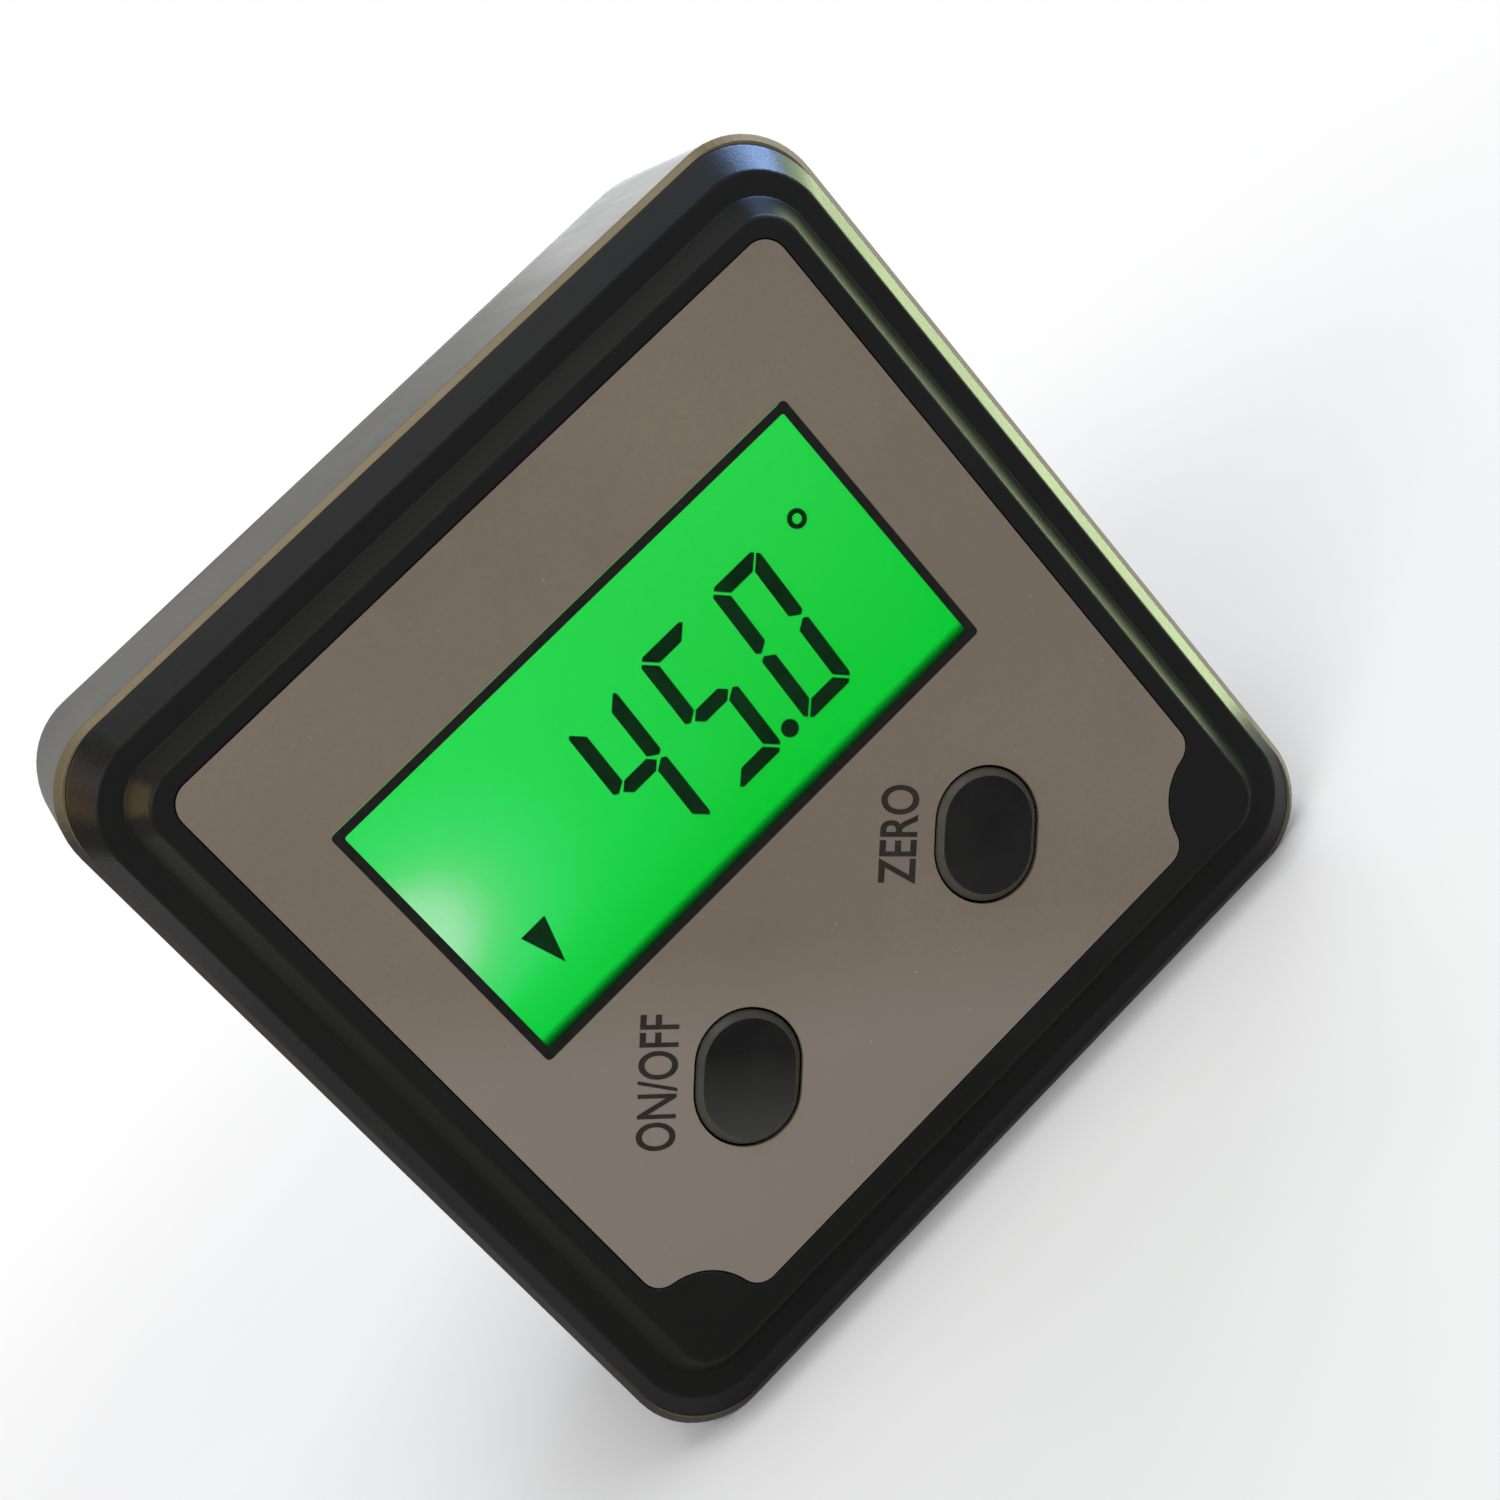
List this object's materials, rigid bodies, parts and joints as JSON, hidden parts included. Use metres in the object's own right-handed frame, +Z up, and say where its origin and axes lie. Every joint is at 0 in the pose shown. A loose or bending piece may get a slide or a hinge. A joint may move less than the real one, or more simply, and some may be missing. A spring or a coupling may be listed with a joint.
{
  "type": "digital angle gauge",
  "caption": "Pocket angle gauge: a square metal frame with a magnetic base, a moulded front with a lit display and press keys, and a rear cover with a sliding battery door.",
  "frame": {"origin": "middle of the base, midway between the front of the keys and the back of the rear cover", "axes": "+Z up, +X to the right as the display is read, +Y from the display towards the back"},
  "size_m": [0.054, 0.0303, 0.054],
  "materials": {
    "black_moulding": "satin, fine moulded texture",
    "label_film": "matt printed film",
    "clear_pane": "polished clear acrylic",
    "key_black": "gloss",
    "brushed_frame": "bead blasted and clear anodised",
    "polarizer": "clear grey-green film",
    "display_glass": "polished",
    "display_black": "even dark figure",
    "seal_grey": "cured adhesive",
    "guide_clear": "clear with a dotted back",
    "film_white": "matt white",
    "lamp_green": "clear resin in a white case",
    "strip_rubber": "soft silicone",
    "board_green": "solder mask",
    "chip_black": "moulded",
    "resin_black": "poured resin",
    "crystal_can": "drawn can",
    "capacitor_brown": "fired ceramic",
    "switch_grey": "moulded",
    "plunger_white": "moulded",
    "screw_zinc": "zinc plated",
    "screw_black": "black plated",
    "magnet_nickel": "nickel plated",
    "cell_wrap": "printed wrap on a steel can",
    "spring_steel": "nickel plated spring strip"
  },
  "bodies": {
    "housing": {"housing_frame": "brushed_frame", "base_magnets": "magnet_nickel", "front_bezel": "black_moulding", "face_label": "label_film", "display_window": "clear_pane", "front_polarizer": "polarizer", "lcd_front_glass": "display_glass", "display_segments": "display_black", "lcd_seal": "seal_grey", "lcd_rear_glass": "display_glass", "rear_polarizer": "polarizer", "light_guide": "guide_clear", "reflector_film": "film_white", "backlight_lamp": "lamp_green", "contact_strip": "strip_rubber", "main_board": "board_green", "sensor_chip": "chip_black", "controller_chip": "resin_black", "board_crystal": "crystal_can", "board_capacitors": "capacitor_brown", "key_switches": "switch_grey", "board_screws": "screw_zinc", "rear_cover": "black_moulding", "battery_cell": "cell_wrap", "positive_contact": "spring_steel", "negative_contact": "spring_steel", "cover_screws": "screw_black"},
    "on_off_key": {"on_off_button": "key_black", "on_off_plunger": "plunger_white"},
    "zero_key": {"zero_button": "key_black", "zero_plunger": "plunger_white"},
    "battery_door": {"battery_door": "black_moulding"}
  },
  "joints": [
    {"name": "on_off_press", "type": "slide", "parent": "housing", "child": "on_off_key", "axis": [0, 1, 0], "range_m": [0, 0.0004], "stiffness_N_per_m": 4000, "springref_m": -0.0001},
    {"name": "zero_press", "type": "slide", "parent": "housing", "child": "zero_key", "axis": [0, 1, 0], "range_m": [0, 0.0004], "stiffness_N_per_m": 4000, "springref_m": -0.0001},
    {"name": "door_slide", "type": "slide", "parent": "housing", "child": "battery_door", "axis": [1, 0, 0], "range_m": [0, 0.048]}
  ]
}
